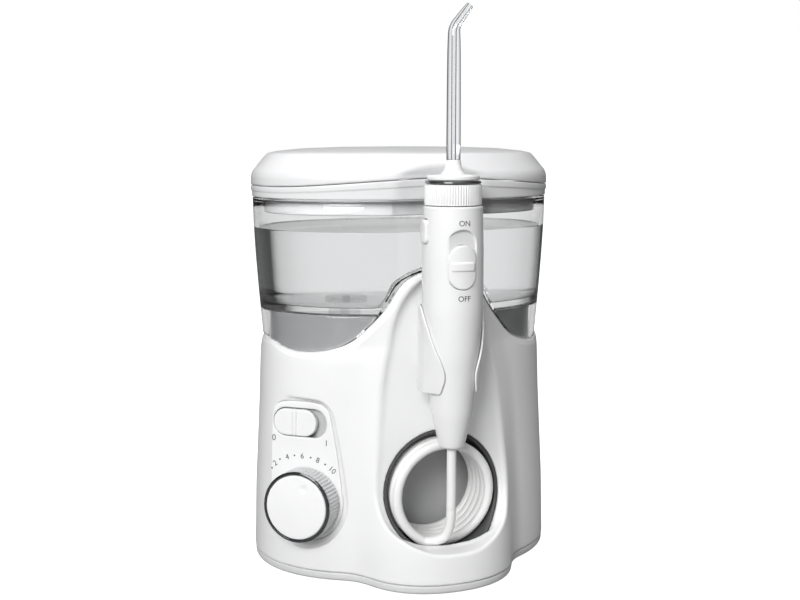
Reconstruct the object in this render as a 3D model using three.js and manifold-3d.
// Countertop water flosser: a pump base with a lift-off clear reservoir, a hinged tip-storage lid,
// a pen-shaped handle held in a clip, and a white hose that coils into a round well in the front.
// Millimetres. Origin: centre of the base outline on the table. +Z up, +Y to the back, +X to
// the right of a person facing the front.
import * as THREE from "three";
import { mergeVertices } from "three/addons/utils/BufferGeometryUtils.js";
import Module from "manifold-3d";

const wasm = await Module();
wasm.setup();

// ---------------------------------------------------------------- driving dimensions
const REACH = 95; // reaches past every outline from the middle
const PLAN_POWER = 2.1; // power of the rounded plan outline
const PLAN_RATIO = 0.745; // depth of the plan outline over its width

// Half width of the plan outline: [z, half width]
const BASE_HALF_WIDTH = [
  [0, 72.8], [4, 72.8], [35, 72.0], [61, 70.6], [80, 69.6], [90, 69.3], [101, 68.8],
  [107, 67.9], [120, 68.5], [145, 70.4],
];
const TANK_HALF_WIDTH = [
  [100, 67.2], [107, 67.5], [111, 67.7], [120, 68.5], [130, 69.35], [145, 70.4], [158, 71.1],
  [174, 71.5], [180, 71.5],
];

// Bulge on the front of the base: [z, half width] and [z, distance of its front from the origin]
const BULGE_HALF_WIDTH = [
  [0, 38], [20, 38], [45, 37], [75, 34.5], [92, 32], [108, 28], [122, 24], [130, 20],
];
const BULGE_FRONT = [
  [0, 75.4], [20, 73], [45, 66], [75, 58], [92, 54], [108, 52], [125, 51], [130, 50],
];
const BULGE_POWER = 2.15;
const BULGE_CENTRE = 40; // distance of the bulge centre in front of the origin
const BULGE_BACK = 8; // reach of the bulge behind its centre

const PLATE_TOP = 4.3; // bottom cover
const HOUSING_BOTTOM = 4.6;
const BASE_WALL = 2.6;
const PEDESTAL_TOP = 122.1; // the shelf the reservoir stands on
const PEDESTAL_INSET = 3.2;
const TOWER_BACK_Y = -43; // back of the front tongue that rises in front of the reservoir
const BACK_LIP_Z = 108; // joint of base and reservoir at the back

// Joint line of base and reservoir on the front: [distance from the middle, z]
const JOINT_LINE = [
  [0, 141.5], [5, 141.1], [9.6, 139.9], [14, 138.2], [17.5, 135.8], [20, 132.8], [22.2, 128.6],
  [25.7, 123.5], [30, 118.4], [35, 113], [38.5, 110], [43, 107.4], [50, 105], [57, 104],
  [62, 104.6], [65.5, 106.6], [67.5, 108], [REACH, 108],
];

// Recess in the front: [z, half width] and [z, y of its floor]
const RECESS_HALF_WIDTH = [
  [17.5, 8], [19, 14], [22, 20.5], [26, 26.5], [30, 29.8], [37, 32.5], [46, 34], [75, 31.7],
  [108, 25.5], [122, 21], [128, 17], [134, 12], [138, 6.5], [140.5, 1.2],
];
const RECESS_FLOOR = [
  [12, -61.6], [16, -60], [40, -53.5], [68, -51.5], [92, -48.5], [120, -47.5], [145, -47],
];

// Shallow hollow down the front, behind the handle
const SCOOP_DEPTH = 49; // distance of its middle from the origin on reservoir and lid
const SCOOP_SPREAD = 160; // it falls away by x squared over this
const BASE_SCOOP = [ // [z, distance] where it runs out down the base
  [96, 200], [112, 62], [120, 53.5], [128, 50.4], [134, 49], [150, 49],
];

const WELL_Z = 41; // round well for the coiled hose
const WELL_R = 27.9;
const WELL_BACK = -27;
const WELL_WALL = 1.5;
const HOSE_R = 2.15;
const COIL_R = 22;
const COIL_Z = 40.3;
const COIL_TURNS = 5.25;
const COIL_PITCH = 4.5;
const COIL_FRONT = -57.3;
const COIL_START = 0.42; // radians past the lowest point
const NIPPLE_X = -16; // hose end behind the well
const NIPPLE_Z = 51.5;

const HANDLE_X = -0.5; // upright handle axis
const HANDLE_Y = -65.5;
const HANDLE_PROFILE = [ // [z, radius]
  [64.5, 5.1], [65.2, 5.6], [70, 6.8], [72, 7.3], [80, 9], [86, 9.6], [94, 10.4], [98, 10.7],
  [106, 11.8], [119.5, 12.8], [126, 13.3], [139, 13.4], [152, 13.4], [171.2, 12.9],
];
const SLOT_X = -1.3; // slot of the pause switch on the handle front
const SLOT_Z = [136, 161.5];
const SLOT_W = 12.8;
const SLIDER_LENGTH = 18.8;
const EJECT_Z = 160.4; // tip eject button on the left of the handle
const EJECT_OUT = -14.9;
const COLLAR_Z = [171.6, 180.4];
const COLLAR_R = 12.4;
const COLLAR_RIBS = 40;

const TANK_WALL = 2.2;
const TANK_FLOOR = [122.4, 125];
const TANK_TOP = 177;
const SKIRT_INSET = 2.6;
const JOINT_GAP = 0.35;
const LID_HALF_WIDTH = 72.2;
const LID_SEAM = 178.5;
const LID_SEAM_RISE = 3.9;
const SEAM_GAP = 0.15; // on each side of the seam
const LID_SHOULDER = 184;
const LID_TAPER = [ // [z, inset]
  [170, 0.3], [175.8, 0.3], [176.0, 0], [184, 0], [185, 0.5], [192.5, 7], [194, 12],
  [195.3, 24], [196, 44],
];
const HINGE_Y = 54.6;
const HINGE_Z = 178.4;

const PANEL_ORIGIN = [-56.9, -29.9, 35.5]; // dial axis where it leaves the control panel
const PANEL_TURN = 40.5; // degrees; the panel faces left-front,
const PANEL_TILT = 2.8; // leaning back slightly
const PANEL_OUTLINE = [ // [across, up] in the panel frame
  [-19.7, 8.2], [-19.4, 25.3], [-18.9, 40], [-18.0, 43.6], [-15.3, 46.5], [-11.7, 47.8],
  [-4.3, 47.8], [5.4, 47.4], [9.6, 45.8], [12.2, 43.2], [13.5, 40.6], [15.4, 31.8],
  [17.7, 20.6], [20.4, 5.4], [20.8, 0.7], [19.5, -6], [16, -12.4], [10.3, -17.8],
  [2.3, -21.1], [-5.1, -20.6], [-12, -17], [-17, -11], [-19.6, -3],
];
const DIAL_R = 16.2;
const DIAL_TOP = 12.6;
const DIAL_RIBS = 30;
const SWITCH_AT = [-4.2, 36.1];
const SWITCH_SLOT = [26.4, 13.2];
const SWITCH_TRAVEL = 4.2;

const GEAR_Y = 20;
const GEAR_Z = 58;
const GEAR_TEETH = 40;
const PINION_TEETH = 12;
const MODULE = 1;
const CRANK_THROW = 4;
const PINION_Z = GEAR_Z - (MODULE * (GEAR_TEETH + PINION_TEETH)) / 2;
const PISTON_X = -10.1;
const PORT = [-22, 10]; // water port between reservoir and base

// ---------------------------------------------------------------- solids
const { degToRad } = THREE.MathUtils;

// Linear interpolation in a table, held at both ends
const lookUp = (table, value) => {
  const next = table.findIndex(([key]) => value <= key);
  if (next === 0) return table[0][1];
  if (next < 0) return table[table.length - 1][1];
  const [key0, value0] = table[next - 1];
  const [key1, value1] = table[next];
  return value0 + ((value1 - value0) * (value - key0)) / (key1 - key0);
};

// Closed solid from a geometry: welded, without degenerate triangles, facing outward
function solid(geometry) {
  geometry.deleteAttribute("normal");
  geometry.deleteAttribute("uv");
  const merged = mergeVertices(geometry, 1e-4);
  const index = merged.index.array;
  const triangles = [];
  for (let i = 0; i < index.length; i += 3) {
    const [a, b, c] = index.slice(i, i + 3);
    if (a !== b && b !== c && c !== a) triangles.push([a, b, c]);
  }
  const build = (list) => new wasm.Manifold(new wasm.Mesh({
    numProp: 3,
    vertProperties: new Float32Array(merged.attributes.position.array),
    triVerts: new Uint32Array(list.flat()),
  }));
  const result = build(triangles);
  return result.volume() < 0 ? build(triangles.map(([a, b, c]) => [a, c, b])) : result;
}

function toGeometry(shape) {
  const { vertProperties, triVerts } = shape.getMesh();
  const geometry = new THREE.BufferGeometry()
    .setAttribute("position", new THREE.BufferAttribute(vertProperties, 3))
    .setIndex(new THREE.BufferAttribute(triVerts, 1))
    .toNonIndexed();
  geometry.computeVertexNormals();
  return geometry;
}

const union = (...parts) => parts.reduce((a, b) => a.add(b));
const cut = (body, ...tools) => tools.reduce((a, b) => a.subtract(b), body);
const toVectors = (points) => points.map(([x, y]) => new THREE.Vector2(x, y));
const extrude = (outline, options) => new THREE.ExtrudeGeometry(
  new THREE.Shape(toVectors(outline)),
  { bevelEnabled: false, curveSegments: 1, ...options },
);
const at = (x, y) => new THREE.Matrix4().makeTranslation(x, y, 0);
const framed = (geometry, frame = new THREE.Matrix4()) => solid(geometry.applyMatrix4(frame));

// One outline carried through a list of levels, each point placed by its own rule
function stack(outline, levels, place) {
  const steps = levels.length - 1;
  const geometry = extrude(outline, { depth: steps, steps });
  const points = geometry.attributes.position;
  for (let i = 0; i < points.count; i++) {
    const k = Math.round(points.getZ(i));
    const [x, y, z = levels[k]] = place(points.getX(i), points.getY(i), levels[k], k);
    points.setXYZ(i, x, y, z);
  }
  return solid(geometry);
}
const polar = (radius, angle) => [radius * Math.cos(angle), radius * Math.sin(angle)];
const ring = (n, radius = 1) =>
  Array.from({ length: n }, (_, i) => polar(radius, (2 * Math.PI * i) / n));
const loft = (levels, section, n = 40) =>
  stack(ring(n), levels, (x, y, z) => section(Math.atan2(y, x), z));

// Outlines extruded along Z, Y (points are x, z) and X (points are y, z)
const prism = (points, z0, z1, frame) =>
  framed(extrude(points, { depth: z1 - z0 }).translate(0, 0, z0), frame);
const prismY = (points, y0, y1) =>
  solid(extrude(points, { depth: y1 - y0 }).rotateX(Math.PI / 2).translate(0, y1, 0));
const prismX = (points, x0, x1) => solid(
  extrude(points, { depth: x1 - x0 })
    .rotateX(Math.PI / 2).rotateZ(Math.PI / 2).translate(x0, 0, 0),
);
const box = (x0, x1, y0, y1, z0, z1, frame) => framed(
  new THREE.BoxGeometry(x1 - x0, y1 - y0, z1 - z0)
    .translate((x0 + x1) / 2, (y0 + y1) / 2, (z0 + z1) / 2),
  frame,
);

// Round rods along each axis; n is the number of sides
const cylinder = (radius, length, n) => new THREE.CylinderGeometry(radius, radius, length, n);
const rodZ = (radius, x, y, z0, z1, n, frame) => framed(
  cylinder(radius, z1 - z0, n).rotateX(Math.PI / 2).translate(x, y, (z0 + z1) / 2),
  frame,
);
const rodY = (radius, x, z, y0, y1, n) =>
  solid(cylinder(radius, y1 - y0, n).translate(x, (y0 + y1) / 2, z));
const rodX = (radius, y, z, x0, x1, n) =>
  solid(cylinder(radius, x1 - x0, n).rotateZ(Math.PI / 2).translate((x0 + x1) / 2, y, z));

// Turned solids from [radius, height] points; the ring versions close the profile
const lathe = (points, n, frame) =>
  framed(new THREE.LatheGeometry(toVectors(points), n).rotateX(Math.PI / 2), frame);
const closed = (points) => [...points, points[0]];
const latheRing = (points, n, frame) => lathe(closed(points), n, frame);
const latheRingY = (points, x, z) =>
  solid(new THREE.LatheGeometry(toVectors(closed(points)), 12).translate(x, 0, z));

// Six-sided tube or cord along a smooth path
const tube = (path, radius, steps) => solid(extrude(ring(6, radius), {
  steps,
  extrudePath: new THREE.CatmullRomCurve3(
    path.map((point) => new THREE.Vector3(...point)), false, "centripetal",
  ),
}));

// ---------------------------------------------------------------- outlines
const roundRect = (width, height, radius, steps, centreX, centreY) =>
  [[1, 1, 0], [-1, 1, 90], [-1, -1, 180], [1, -1, 270]].flatMap(([sideX, sideY, start]) =>
    Array.from({ length: steps + 1 }, (_, i) => {
      const [x, y] = polar(radius, degToRad(start + (90 * i) / steps));
      return [
        centreX + sideX * (width / 2 - radius) + x,
        centreY + sideY * (height / 2 - radius) + y,
      ];
    }));

// Outline moved outward by a distance, with the mitres limited
function grow(points, distance) {
  const corners = toVectors(points);
  const count = corners.length;
  const outward = Math.sign(THREE.ShapeUtils.area(corners)) * distance;
  return corners.map((corner, i) => {
    const before = corner.clone().sub(corners[(i + count - 1) % count]).normalize();
    const after = corners[(i + 1) % count].clone().sub(corner).normalize();
    const normal = new THREE.Vector2(before.y + after.y, -before.x - after.x).normalize();
    const facing = normal.dot(new THREE.Vector2(before.y, -before.x));
    const mitre = outward / Math.max(0.5, facing);
    return [corner.x + normal.x * mitre, corner.y + normal.y * mitre];
  });
}

const ribbed = (ribs, inner, outer) => Array.from({ length: ribs * 2 }, (_, i) =>
  polar(i % 2 ? inner : outer, (Math.PI * i) / ribs));

const superellipse = (angle, halfX, halfY, power) => {
  const bend = (v) => Math.sign(v) * Math.abs(v) ** (2 / power);
  return [halfX * bend(Math.cos(angle)), halfY * bend(Math.sin(angle))];
};

// ---------------------------------------------------------------- section rules
// Each rule takes an inset (a number, or a function of z) and gives a section for loft.
const insetAt = (inset, z) => (typeof inset === "function" ? inset(z) : inset);
const scoopY = (x, depth) => -(depth + (x * x) / SCOOP_SPREAD);

const planSection = (halfWidthAt, scoopAt, taperAt = () => 0) => (inset) => (angle, z) => {
  const half = halfWidthAt(z);
  const own = insetAt(inset, z);
  const total = taperAt(z) + own;
  const [x, y] = superellipse(angle, half - total, half * PLAN_RATIO - total, PLAN_POWER);
  return [x, Math.max(y, scoopY(x, scoopAt(z)) + own)];
};
const baseScoopAt = (z) => lookUp(BASE_SCOOP, z);
const baseSection = planSection((z) => lookUp(BASE_HALF_WIDTH, z), baseScoopAt);
const tankSection = planSection((z) => lookUp(TANK_HALF_WIDTH, z), () => SCOOP_DEPTH);
const lidSection = planSection(
  () => LID_HALF_WIDTH,
  (z) => SCOOP_DEPTH + Math.max(0, z - LID_SHOULDER) * 0.25,
  (z) => lookUp(LID_TAPER, z),
);
const bulgeSection = (inset) => (angle, z) => {
  const own = insetAt(inset, z);
  const front = lookUp(BULGE_FRONT, z) - BULGE_CENTRE - own;
  const halfY = Math.sin(angle) < 0 ? front : BULGE_BACK;
  const [x, y] = superellipse(angle, lookUp(BULGE_HALF_WIDTH, z) - own, halfY, BULGE_POWER);
  return [x, Math.max(y - BULGE_CENTRE, scoopY(x, baseScoopAt(z)) + own)];
};

// Everything below a line across the front half, and below a level z in the back half
function below(heightAt, stations, offset, back) {
  const end = stations[stations.length - 1];
  const line = [
    ...stations.slice().reverse().map((x) => [-x, heightAt(x) + offset]),
    ...stations.slice(1).map((x) => [x, heightAt(x) + offset]),
  ];
  return union(
    prismY([...line, [end, -20], [-end, -20]], -REACH, 0),
    box(-REACH, REACH, -0.01, REACH, -20, back + offset),
  );
}
const belowJoint = (offset, back) =>
  below((x) => lookUp(JOINT_LINE, x), JOINT_LINE.map(([x]) => x), offset, back);

const seamHeight = (x) =>
  LID_SEAM + LID_SEAM_RISE * Math.cos((Math.PI / 2) * Math.min(1, x / 68)) ** 1.3;
const SEAM_STATIONS = [0, 6, 12, 18, 24, 30, 36, 42, 48, 54, 60, 64, 68, REACH];
const belowSeam = (offset) => below(seamHeight, SEAM_STATIONS, offset, LID_SEAM);

function recessCutter(margin) {
  const levels = RECESS_HALF_WIDTH.map(([z]) => z);
  levels[0] -= margin;
  levels[levels.length - 1] += margin;
  return stack([[-1, -1], [1, -1], [1, 1], [-1, 1]], levels, (x, y, z, k) => [
    x * (RECESS_HALF_WIDTH[k][1] + margin),
    y < 0 ? -REACH : lookUp(RECESS_FLOOR, z) + margin,
  ]);
}

// Panel frame: first axis across to the right, second up the panel, third out of it
const turn = degToRad(PANEL_TURN);
const tilt = degToRad(PANEL_TILT);
const panelOut = new THREE.Vector3(
  -Math.sin(turn) * Math.cos(tilt), -Math.cos(turn) * Math.cos(tilt), Math.sin(tilt),
);
const panelAcross = new THREE.Vector3(Math.cos(turn), -Math.sin(turn), 0);
const panelUp = new THREE.Vector3().crossVectors(panelOut, panelAcross).normalize();
const PANEL = new THREE.Matrix4()
  .makeBasis(panelAcross, panelUp, panelOut)
  .setPosition(...PANEL_ORIGIN);
const panelPoint = (x, y, z) => new THREE.Vector3(x, y, z).applyMatrix4(PANEL).toArray();
const spindleHole = (z0, z1) => rodZ(3.5, 0, 0, z0, z1, 14, PANEL);

// ---------------------------------------------------------------- group and materials
const plastic = (color, roughness) => ({ color, roughness, metalness: 0 });
const metal = (color, roughness) => ({ color, roughness, metalness: 1 });
const FINISHES = {
  white: plastic(0xf1f1f1, 0.28),
  soft: plastic(0xe4e4e4, 0.5),
  grey: plastic(0xb9bbbd, 0.55),
  dark: plastic(0x2b2d30, 0.6),
  rubber: plastic(0x8d9093, 0.85),
  clear: { ...plastic(0xdfe7ea, 0.05), transparent: true, opacity: 0.35 },
  chrome: metal(0xd8dadc, 0.12),
  steel: metal(0x9fa3a7, 0.4),
  brass: metal(0xb89a55, 0.35),
  board: plastic(0x2f6b46, 0.6),
  gear: plastic(0xdcd8c6, 0.5),
};
const group = new THREE.Group();
group.name = "water_flosser";
const add = (name, shape, finish) => {
  const material = new THREE.MeshStandardMaterial(FINISHES[finish]);
  const mesh = new THREE.Mesh(toGeometry(shape.simplify(0.1)), material);
  mesh.name = name;
  group.add(mesh);
};

// ---------------------------------------------------------------- base
const SCREWS = [ // name, x, y, top of its boss
  ["front_left", -53, -31.5, 12],
  ["front_right", 53, -31.5, 18],
  ["back_left", -61, 21, 18],
  ["back_right", 61, 21, 18],
];
const FEET = [ // name, x, y
  ["front_left", -40, -24],
  ["front_right", 40, -24],
  ["back_left", -46, 22],
  ["back_right", 46, 22],
];
const recess = recessCutter(0);

function baseCavity() {
  const inside = union(
    loft([-1, 35, 61, 80, 90, 99, 103, 119.1], baseSection((z) => (z < 100 ? BASE_WALL : 5.8)), 32),
    loft([-1, 20, 45, 70], bulgeSection(BASE_WALL), 20),
  );
  const panelBacking = prism(grow(PANEL_OUTLINE, 1.6), -5.2, 14, PANEL);
  const bosses = SCREWS.map(([, x, y, top]) => rodZ(5.6, x, y, HOUSING_BOTTOM, top, 12));
  return cut(inside, recessCutter(2.4), panelBacking, ...bosses);
}

function baseHousing() {
  const levels = [HOUSING_BOTTOM, 35, 61, 90, 101, 107, 113, 120, 128, 145];
  const outer = union(
    loft(levels, baseSection(0)),
    loft([HOUSING_BOTTOM, 20, 45, 75, 92, 108, 130], bulgeSection(0), 32),
  );
  // Straight walls, so the reservoir lifts off freely
  const pedestalSection = tankSection(PEDESTAL_INSET);
  const pedestal = loft([90, PEDESTAL_TOP], (angle) => pedestalSection(angle, 104));
  const body = cut(
    outer.intersect(belowJoint(0, BACK_LIP_Z)),
    box(-REACH, REACH, TOWER_BACK_Y, REACH, PEDESTAL_TOP, 200),
  );
  const [switchX, switchY] = SWITCH_AT;
  return cut(
    union(body, pedestal),
    baseCavity(),
    recess,
    rodY(WELL_R + 0.3, 0, WELL_Z, -61, -30, 29),
    prism(PANEL_OUTLINE, -2.8, 14, PANEL),
    spindleHole(-8, 0),
    box(switchX - 5, switchX + 5, switchY - 2.6, switchY + 2.6, -8, 0, PANEL),
    ...SCREWS.map(([, x, y]) => rodZ(1.9, x, y, 0, 11, 10)),
    rodZ(6.2, ...PORT, 110, 128, 17),
    rodY(3.3, 0, 14, 45, 60, 14), // cord hole in the back
  ).intersect(union(outer, pedestal));
}
add("base_housing", baseHousing(), "white");

function basePlate() {
  const levels = [0.4, 1.6, PLATE_TOP];
  const edge = (z) => (z < 1 ? 1.3 : z < 2 ? 0.3 : 0);
  return cut(
    union(loft(levels, baseSection(edge)), loft(levels, bulgeSection(edge), 28)),
    ...FEET.map(([, x, y]) => rodZ(6.3, x, y, 0, 2.4, 17)),
    ...SCREWS.map(([, x, y]) => union(rodZ(3.4, x, y, 0, 2.6, 14), rodZ(2, x, y, 0, 6, 10))),
  );
}
add("base_plate", basePlate(), "soft");

const FOOT_PROFILE = [[0, 0], [5.2, 0], [6, 0.6], [6, 2.1], [0, 2.1]];
for (const [name, x, y] of FEET) add("foot_" + name, lathe(FOOT_PROFILE, 17, at(x, y)), "rubber");

// Screw with a cross slot in its head
const SCREW_PROFILE = [[0, 1.3], [3, 1.3], [3, 2.3], [1.6, 2.5], [1.6, 9.6], [0, 10.6]];
for (const [name, x, y] of SCREWS) {
  const screw = cut(
    lathe(SCREW_PROFILE, 10, at(x, y)),
    box(x - 2.2, x + 2.2, y - 0.4, y + 0.4, 1, 1.8),
    box(x - 0.4, x + 0.4, y - 2.2, y + 2.2, 1, 1.8),
  );
  add("screw_" + name, screw, "steel");
}

// ---------------------------------------------------------------- control panel, dial and switch
add("control_panel", cut(
  prism(grow(PANEL_OUTLINE, -0.35), -2.5, 0, PANEL),
  spindleHole(-6, 4),
  prism(roundRect(...SWITCH_SLOT, 6.4, 6, ...SWITCH_AT), -6, 4, PANEL),
), "white");

add("knob_skirt", cut(
  prism(ribbed(DIAL_RIBS, DIAL_R - 0.6, DIAL_R), 0.8, 10.6, PANEL),
  rodZ(14, 0, 0, 3, 20, 24, PANEL),
  spindleHole(0, 6),
), "grey");
add("knob_ring", latheRing(
  [[14.9, 10.95], [15.9, 10.95], [16.1, 11.6], [15.5, 12.4], [14.9, 12.4]], 24, PANEL,
), "chrome");
const KNOB_PROFILE = [
  [0, 8.6], [3.4, 8.6], [3.4, 3.4], [6, 3.4], [6, 9], [13.6, 9], [13.6, 10.95], [14.6, 10.95],
  [14.6, DIAL_TOP - 0.5], [14, DIAL_TOP], [0, DIAL_TOP + 0.4],
];
add("knob_face", cut(
  lathe(KNOB_PROFILE, 26, PANEL),
  framed(new THREE.SphereGeometry(1.3, 10, 6).translate(3.6, 9, DIAL_TOP + 1), PANEL), // dimple
), "white");
add("knob_spindle", rodZ(3, 0, 0, -16, 8.2, 14, PANEL), "brass");

function powerSlider() {
  const x = SWITCH_AT[0] - SWITCH_TRAVEL / 2;
  const y = SWITCH_AT[1];
  return union(
    prism(roundRect(21.2, 12.2, 5.9, 6, x, y), -2.2, 0.9, PANEL),
    prism(roundRect(3.2, 10, 1.2, 3, x, y), 0.5, 2.2, PANEL),
    box(x - 1.8, x + 1.8, y - 2, y + 2, -5.3, -1, PANEL),
  );
}
add("power_slider", powerSlider(), "white");

function powerSwitch() {
  const [x, y] = SWITCH_AT;
  return box(x - 11, x + 11, y - 6, y + 6, -15, -5.7, PANEL);
}
add("power_switch", powerSwitch(), "dark");
add("pressure_regulator", union(
  cut(rodZ(9, 0, 0, -22, -5.6, 19, PANEL), spindleHole(-17, 0)),
  rodZ(3, 0, 0, -25, -21, 10, PANEL),
), "grey");

// ---------------------------------------------------------------- hose, its well, handle clip
add("hose_well", cut(
  rodY(WELL_R, 0, WELL_Z, -60.6, WELL_BACK, 24),
  rodY(WELL_R - WELL_WALL, 0, WELL_Z, -70, WELL_BACK - 1.6, 24),
  recess,
  rodY(3, NIPPLE_X, NIPPLE_Z, -32, -20, 12),
), "grey");

// Down from the handle, round the coil from front to back, out through the well's back
function hosePath() {
  const path = [
    [HANDLE_X, HANDLE_Y, 68],
    [HANDLE_X, HANDLE_Y, 52],
    [HANDLE_X - 0.1, HANDLE_Y, 39],
    [-0.9, HANDLE_Y + 0.3, 29.5],
    [-3, -62.9, 22.6],
  ];
  const pointAngle = (k) => COIL_START + (k * Math.PI) / 9;
  let tailY;
  for (let k = 0; pointAngle(k) <= 2 * Math.PI * COIL_TURNS; k++) {
    const angle = pointAngle(k);
    tailY = COIL_FRONT + (COIL_PITCH * (angle - COIL_START)) / (2 * Math.PI);
    path.push([-COIL_R * Math.sin(angle), tailY, COIL_Z - COIL_R * Math.cos(angle)]);
  }
  path.push([-20.4, tailY + 1.4, 47.2], [-17, -30.6, 51]);
  path.push([NIPPLE_X, -27, NIPPLE_Z], [NIPPLE_X, -21, NIPPLE_Z]);
  return path;
}
add("hose", tube(hosePath(), HOSE_R, 76), "white");
add("hose_nipple", latheRingY(
  [[1.4, -20.6], [3.6, -20.6], [3.6, -17], [2.6, -16], [2.6, -12], [1.4, -12]],
  NIPPLE_X, NIPPLE_Z,
), "soft");

const CLIP_OPENING = [ // [z, half angle of the clip opening in degrees]
  [90, 52], [91.5, 46.8], [92.8, 45], [95.5, 39.3], [97.9, 37.8], [100.4, 38.7], [102.7, 42],
  [105.2, 46], [107.5, 51.7], [109.8, 56.9], [112.2, 61.2], [114.5, 65.4], [117, 70],
  [119.2, 74.3], [121.6, 79.9], [123.8, 84.3], [126.1, 89.8], [128, 105],
];
const CLIP_STEPS = 20; // around the clip
const CLIP_SPAN = 280; // degrees in the starting outline, before the opening is set
const CLIP_START = -50;
const CLIP_GAP = 0.5;
const CLIP_RIM = 1.2;
const CLIP_SIDE = 13.6; // half width over the flat sides
const CLIP_BACK = 8;

// Thin round rim in front, flat side plates behind the axis; angles in degrees from the front
function clipOuterRadius(angle, opening, z) {
  const rim = lookUp(HANDLE_PROFILE, z) + CLIP_RIM;
  if (angle < 90) {
    const blend = Math.max(0, (angle - opening) / Math.max(1, 90 - opening)) ** 2;
    return rim + (Math.max(CLIP_SIDE, rim) - rim) * blend;
  }
  if (angle < 119.5) return Math.max(rim, CLIP_SIDE / Math.sin(degToRad(angle)));
  return angle < 136 ? Math.max(rim, CLIP_BACK / -Math.cos(degToRad(angle))) : rim;
}

function clipRing() {
  const arc = (radius) => Array.from({ length: CLIP_STEPS + 1 }, (_, i) =>
    polar(radius, degToRad(CLIP_START + (i / CLIP_STEPS) * CLIP_SPAN)));
  // Radii 2 and 1.5 only mark the outer and inner side
  const outline = [...arc(2), ...arc(1.5).reverse()];
  return stack(outline, CLIP_OPENING.map(([z]) => z), (x, y, z, k) => {
    let swept = THREE.MathUtils.radToDeg(Math.atan2(y, x)) - CLIP_START;
    if (swept < -1e-3) swept += 360;
    const opening = CLIP_OPENING[k][1];
    const along = opening + (swept / CLIP_SPAN) * (360 - 2 * opening);
    const fromFront = along > 180 ? 360 - along : along;
    const radius = Math.hypot(x, y) > 1.75
      ? clipOuterRadius(fromFront, opening, z)
      : lookUp(HANDLE_PROFILE, z) + CLIP_GAP;
    const [dx, dy] = polar(radius, degToRad(along - 90));
    return [HANDLE_X + dx, HANDLE_Y + dy];
  });
}

const HANDLE = at(HANDLE_X, HANDLE_Y);
const handleRod = (radius, z0, z1, n) => rodZ(radius, HANDLE_X, HANDLE_Y, z0, z1, n);

function handleCradle() {
  const clearance = [90, 94, 98, 106, 119.5, 126, 134]
    .map((z) => [lookUp(HANDLE_PROFILE, z) + CLIP_GAP, z]);
  const backBlock = cut(
    box(HANDLE_X - 8, HANDLE_X + 8, -53.5, -48.8, 99, 124),
    lathe([[0, 90], ...clearance, [0, 134]], 24, HANDLE),
  );
  return union(clipRing(), backBlock);
}
add("handle_cradle", handleCradle(), "white");

// ---------------------------------------------------------------- handle
function handleShell() {
  const middle = (SLOT_Z[0] + SLOT_Z[1]) / 2;
  const length = SLOT_Z[1] - SLOT_Z[0];
  const profile = [
    [2.7, 64.5],
    ...HANDLE_PROFILE.map(([z, radius]) => [radius, z]),
    [10.2, 171.2], [10.2, 116], [9.4, 105], [8, 94], [7, 86], [4.2, 72], [2.7, 70.5],
  ];
  return cut(
    latheRing(profile, 24, HANDLE),
    prismY(roundRect(SLOT_W, length, 6.3, 7, SLOT_X, middle), -90, -76.7),
    prismY(roundRect(4.2, 14.6, 2, 4, SLOT_X, middle - 0.6), -80, -74),
    prismX(roundRect(7.2, 10.8, 2.4, 4, HANDLE_Y, EJECT_Z), -20, -8),
  );
}
add("handle_shell", handleShell(), "white");

// Rounded face, a raised bar across it and a stem into the handle
function pauseSlider() {
  const z = SLOT_Z[0] + 0.3 + SLIDER_LENGTH / 2;
  return union(
    prismY(roundRect(12.2, SLIDER_LENGTH, 6, 7, SLOT_X, z), -84, -77)
      .intersect(handleRod(14.2, 120, 170, 38)),
    prismY(roundRect(10.6, 3.4, 1.3, 3, SLOT_X, z + 0.3), -81, -78)
      .intersect(handleRod(14.8, 120, 170, 38)),
    prismY(roundRect(3.4, 6, 1.5, 3, SLOT_X, z), -78, -75.5),
  );
}
add("pause_slider", pauseSlider(), "grey");
add("eject_button",
  prismX(roundRect(6.6, 10.2, 2.1, 4, HANDLE_Y, EJECT_Z), EJECT_OUT, -11.4), "white");
add("handle_valve", lathe([
  [0, 128], [8.4, 128], [9.5, 129.5], [9.5, 164], [8.4, 165.5], [1.6, 165.5], [1.6, 158],
  [0, 158],
], 17, HANDLE), "soft");
add("handle_tube", latheRing(
  [[1.2, 68.4], [2.1, 68.4], [2.1, 127.6], [1.2, 127.6]], 8, HANDLE,
), "clear");
add("hose_ferrule", latheRing(
  [[2.4, 73.5], [3.7, 73.5], [4.4, 78], [4.4, 79], [2.4, 79]], 12, HANDLE,
), "brass");

// Rotating collar and jet tip
add("tip_collar", cut(
  union(
    prism(ribbed(COLLAR_RIBS, COLLAR_R - 0.45, COLLAR_R), ...COLLAR_Z, HANDLE),
    handleRod(9.8, 167, 172, 24),
  ),
  handleRod(6.3, 160, 185, 19),
), "white");
add("collar_ring", latheRing(
  [[6.6, 180.7], [12, 180.7], [12.3, 181.1], [12, 181.9], [6.6, 181.9]], 19, HANDLE,
), "chrome");
add("tip_base", latheRing([
  [2.7, 176], [2.7, 190.7], [3.25, 190.7], [3.5, 188.5], [4.3, 186], [5.6, 184.6], [8, 184.4],
  [10.9, 184.3], [11.4, 183.8], [11.4, 182.6], [11, 182.2], [5.9, 182.2], [5.9, 168.5],
  [5, 167.6], [1.6, 167.6], [1.6, 176],
], 14, HANDLE), "white");

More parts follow.
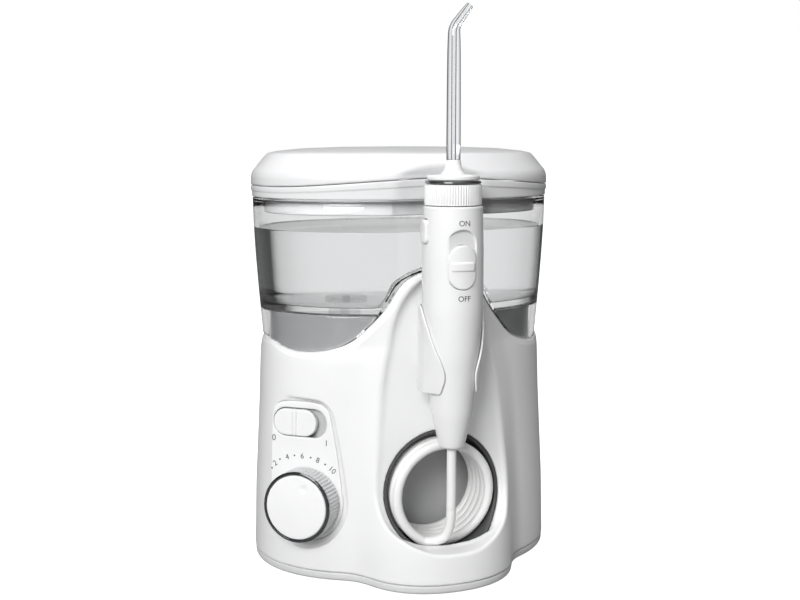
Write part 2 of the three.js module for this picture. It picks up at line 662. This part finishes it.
// Centre line of the jet tip, straight then bent to +X: [x, z, lean in radians, radius]
function tipStations() {
  const bendZ = 244;
  const bendR = 7.5;
  const lean = degToRad(38);
  const stations = [[0, 191, 0, 3.05], [0, 215, 0, 3.0], [0, 236, 0, 2.85], [0, bendZ, 0, 2.6]];
  for (let i = 1; i <= 6; i++) {
    const angle = (lean * i) / 6;
    const [x, z] = polar(bendR, angle);
    stations.push([bendR - x, bendZ + z, angle, 2.6 - i * 0.08]);
  }
  const [endX, endZ] = stations.at(-1);
  for (const [length, radius] of [[5.0, 1.85], [9.6, 1.55]]) {
    const x = endX + length * Math.sin(lean);
    stations.push([x, endZ + length * Math.cos(lean), lean, radius]);
  }
  return stations;
}

const jet = (stations) => stack(ring(14), stations.map((_, i) => i), (x, y, z, k) => {
  const [centreX, centreZ, lean, radius] = stations[k];
  return [
    HANDLE_X + centreX + radius * x * Math.cos(lean),
    HANDLE_Y + radius * y,
    centreZ - radius * x * Math.sin(lean),
  ];
});

function tipShaft() {
  const stations = tipStations();
  const [endX, endZ, endLean] = stations.at(-1);
  const bore = [[0, 170, 0], ...stations.slice(1), [endX + 1, endZ + 1.3, endLean]]
    .map(([x, z, lean]) => [x, z, lean, 0.75]);
  return cut(union(jet(stations), handleRod(2.4, 176.4, 192, 8)), jet(bore));
}
add("tip_shaft", tipShaft(), "clear");

// ---------------------------------------------------------------- reservoir and lid
// Room for the front tongue of the base
const frontNotch = (offset, top) => belowJoint(offset, 60)
  .intersect(box(-REACH, REACH, -REACH, TOWER_BACK_Y + offset, 90, top));

function reservoir() {
  const water = cut(
    loft([TANK_FLOOR[1], 130, 150, 168, 180], tankSection((z) => (z < 165 ? TANK_WALL : 2.9))),
    frontNotch(JOINT_GAP + TANK_WALL, 152),
  );
  return cut(
    union(
      loft([103, 107, 111, 120, 130, 150, 172.9], tankSection(0)),
      loft([172, TANK_TOP], tankSection(1.3)),
    ),
    water,
    loft([95, 107, 111, TANK_FLOOR[0]], tankSection(SKIRT_INSET)), // hollow skirt
    belowJoint(JOINT_GAP, BACK_LIP_Z)
      .intersect(box(-REACH, REACH, -REACH, REACH, 80, PEDESTAL_TOP)),
    frontNotch(JOINT_GAP, 150),
    rodZ(6, ...PORT, 115, 128.5, 17),
  );
}
add("reservoir", reservoir(), "clear");
add("reservoir_valve", latheRing([
  [1.5, 122.25], [5.6, 122.25], [5.6, 125.3], [8.2, 125.3], [8.2, 126.2], [6.5, 126.8],
  [1.5, 126.8],
], 17, at(...PORT)), "dark");
add("inlet_seal", latheRing(
  [[2.4, 114.5], [4.4, 114.5], [4.4, 116.1], [5.8, 116.9], [5.8, 121.9], [2.4, 121.9]],
  17, at(...PORT),
), "dark");

const hingeRod = (radius, x0, x1, n) => rodX(radius, HINGE_Y, HINGE_Z, x0, x1, n);
const pinHole = hingeRod(1.2, -16, 16, 12);
const knuckle = (x0, x1, frontY, z0, z1) =>
  union(hingeRod(2.2, x0, x1, 14), box(x0, x1, frontY, HINGE_Y, z0, z1));

function lidTray() {
  const body = union(
    loft([173.2, 175.7, 176.0, LID_SHOULDER], lidSection(0)),
    loft([166, 178], lidSection(6)),
  ).intersect(belowSeam(-SEAM_GAP));
  const tray = cut(
    body,
    cut(loft([170, 177.3], lidSection(0.8)), loft([165, 178], lidSection(6))), // rim groove
    loft([167.7, 190], lidSection(7.7), 28),
    loft([178.9, LID_SHOULDER], lidSection(3), 36),
    hingeRod(2.7, -5.7, 5.7, 14),
  );
  const knuckles = [[-14, -6], [6, 14]]
    .map(([x0, x1]) => knuckle(x0, x1, 52.4, 176.2, LID_SEAM - 0.2));
  return cut(union(tray, ...knuckles), pinHole);
}
add("lid_tray", lidTray(), "white");

function lidCover() {
  const cover = cut(
    loft([178, LID_SHOULDER, 185, 192.5, 194, 195.3, 196], lidSection(0)),
    belowSeam(SEAM_GAP),
    loft([176, LID_SHOULDER, 185, 191, 192.8], lidSection((z) => (z > 192 ? 6.5 : 2.3)), 36),
    hingeRod(2.7, -14.4, -5.7, 14),
    hingeRod(2.7, 5.7, 14.4, 14),
  );
  return cut(union(cover, knuckle(-5.4, 5.4, 51.2, LID_SEAM + 0.2, 180.6)), pinHole);
}
add("lid_cover", lidCover(), "white");
add("lid_hinge_pin", hingeRod(0.9, -13.8, 13.8, 10), "steel");

// ---------------------------------------------------------------- pump drive inside the base
// Tooth half angles at root and tip and the start angle are in degrees
function gear(teeth, rootHalf, tipHalf, start, centreZ) {
  const pitchR = (MODULE * teeth) / 2;
  const corners = [
    [-rootHalf, pitchR - 1.15], [-tipHalf, pitchR + 0.9],
    [tipHalf, pitchR + 0.9], [rootHalf, pitchR - 1.15],
  ];
  const outline = Array.from({ length: teeth }, (_, i) => corners.map(([offset, radius]) => {
    const [y, z] = polar(radius, degToRad(start + (i * 360) / teeth + offset));
    return [y + GEAR_Y, z + centreZ];
  })).flat();
  return prismX(outline, -3, 2);
}

function crankGear() {
  const holes = [45, 165, 285].map((angle) => {
    const [y, z] = polar(12.5, degToRad(angle));
    return rodX(4, GEAR_Y + y, GEAR_Z + z, -5, 5, 7);
  });
  const crankPin = rodX(2, GEAR_Y + CRANK_THROW, GEAR_Z, -8, -2.5, 12);
  return cut(
    union(gear(GEAR_TEETH, 2.6, 1.1, 0, GEAR_Z), crankPin),
    rodX(2.3, GEAR_Y, GEAR_Z, -2.4, 4, 14),
    ...holes,
  );
}
add("crank_gear", crankGear(), "gear");
add("motor_pinion", union(
  gear(PINION_TEETH, 9.5, 3.2, 15, PINION_Z),
  rodX(1.2, GEAR_Y, PINION_Z, 1, 11.5, 10),
), "brass");
add("pump_motor", cut(
  rodX(14, GEAR_Y, PINION_Z, 5.9, 46, 22),
  rodX(1.6, GEAR_Y, PINION_Z, 5, 13, 10),
), "steel");
add("pump_chassis", cut(
  union(
    box(3, 5.4, -2, 42, 4.8, 70),
    box(3, 16, -2, 42, 4.8, 7),
    rodX(1.9, GEAR_Y, GEAR_Z, -2, 4, 12),
  ),
  rodX(2.4, GEAR_Y, PINION_Z, 0, 8, 12),
), "grey");

// Piston, its flattened rod and a slotted yoke
function pumpPiston() {
  const [x0, x1] = [PISTON_X - 1.5, PISTON_X + 1.5];
  return union(
    rodZ(4.7, PISTON_X, GEAR_Y, 22, 30, 14),
    rodZ(1.8, PISTON_X, GEAR_Y, 29, 53, 7).intersect(box(x0, x1, 10, 30, 20, 60)),
    cut(
      box(x0, x1, GEAR_Y - 9.5, GEAR_Y + 9.5, 52.5, 63.5),
      box(-20, 0, GEAR_Y - 6.8, GEAR_Y + 6.8, 55.4, 60.6),
    ),
  );
}
add("pump_piston", pumpPiston(), "gear");
add("pump_cylinder", lathe(
  [[0, 14], [6.5, 14], [6.5, 44], [5, 44], [5, 15.8], [0, 15.8]], 17, at(PISTON_X, GEAR_Y),
), "soft");
add("pump_head", box(-22, -0.6, 9, 33, 4.9, 13.6), "dark");

add("inlet_tube", tube([
  [...PORT, 114.1], [-22.5, 10.5, 95], [-24, 17, 55], [-22, 26, 26], [-18, 28.5, 17],
  [-18, 28.8, 14],
], 2.1, 16), "clear");
add("outlet_tube", tube([
  [-20, 12, 14], [-20, 12, 17], [-20.5, 10.5, 22], [-27, 4, 27], [-34.5, -1.5, 32],
  panelPoint(0, 0, -28.2), panelPoint(0, 0, -25.4),
], 2, 14), "clear");
add("feed_tube", tube([
  [NIPPLE_X, -11.6, NIPPLE_Z], [NIPPLE_X, -8, NIPPLE_Z], [-22, -2.5, 50], [-32, -4, 46],
  panelPoint(6, 13, -17), panelPoint(4, 9.6, -14),
], 2, 14), "clear");
add("circuit_board", union(
  box(-46, -22, 31.5, 33.1, 20, 60),
  box(-43, -37, 33, 37, 25, 35),
  box(-33, -26, 28.5, 32, 44, 54),
), "board");

// ---------------------------------------------------------------- mains cord behind the base
const CORD_R = 1.8;
const CORD_Z = 2.2;
const CORD_IN = 67; // y of the run nearer the base
const CORD_OUT = 77; // y of the outer run
const PLUG_Y = 70.3; // the plug lies on the folded cord
const PLUG_Z = 13.8;

add("cord_grommet", latheRingY([
  [2.2, 49], [4.2, 49], [4.2, 51], [3, 51], [3, 54.8], [4.6, 54.8], [4.6, 56.2], [3.4, 57],
  [2.9, 60.4], [2.2, 60.4],
], 0, 14), "dark");

const flatRun = (y, stations) => stations.map((x) => [x, y, CORD_Z]);
add("power_cord", tube([
  [0, 42, 14], [0, 50, 14], [0, 59.5, 14], [0.4, 63.2, 12.4], [1.6, 65.9, 8.6],
  [4.6, CORD_IN, 4.4],
  ...flatRun(CORD_IN, [10, 20, 42, 62, 69]),
  [73.3, 68.6, CORD_Z], [75, 72, CORD_Z], [73.3, 75.4, CORD_Z],
  ...flatRun(CORD_OUT, [69, 62, 42, 20, 6]),
  [-1, 76.8, 3.4], [-5, 75.4, 7], [-5, 72.8, 11.4], [-0.5, 70.8, PLUG_Z - 0.2],
  [6, PLUG_Y, PLUG_Z], [16, PLUG_Y, PLUG_Z],
], CORD_R, 48), "white");

const PLUG = new THREE.Matrix4().makeRotationY(Math.PI / 2).setPosition(0, PLUG_Y, PLUG_Z);
const PINS = [["left", -7], ["right", 7]]; // name, y from the plug axis
add("power_plug", cut(
  lathe([
    [0, 16.4], [3, 16.4], [3.4, 24], [8.6, 27], [9.2, 30], [9.2, 44], [8.4, 45], [0, 45],
  ], 19, PLUG),
  ...PINS.map(([, offset]) => rodX(2.3, PLUG_Y + offset, PLUG_Z, 38, 50, 10)),
), "white");
for (const [name, offset] of PINS)
  add("plug_pin_" + name, rodX(2, PLUG_Y + offset, PLUG_Z, 38.4, 63, 10), "steel");
add("cord_tie", cut(
  box(51, 59, 63.7, 80.3, 0, 5.2),
  box(45, 65, 64.5, 79.5, 0.35, 4.5),
), "dark");

export default group;
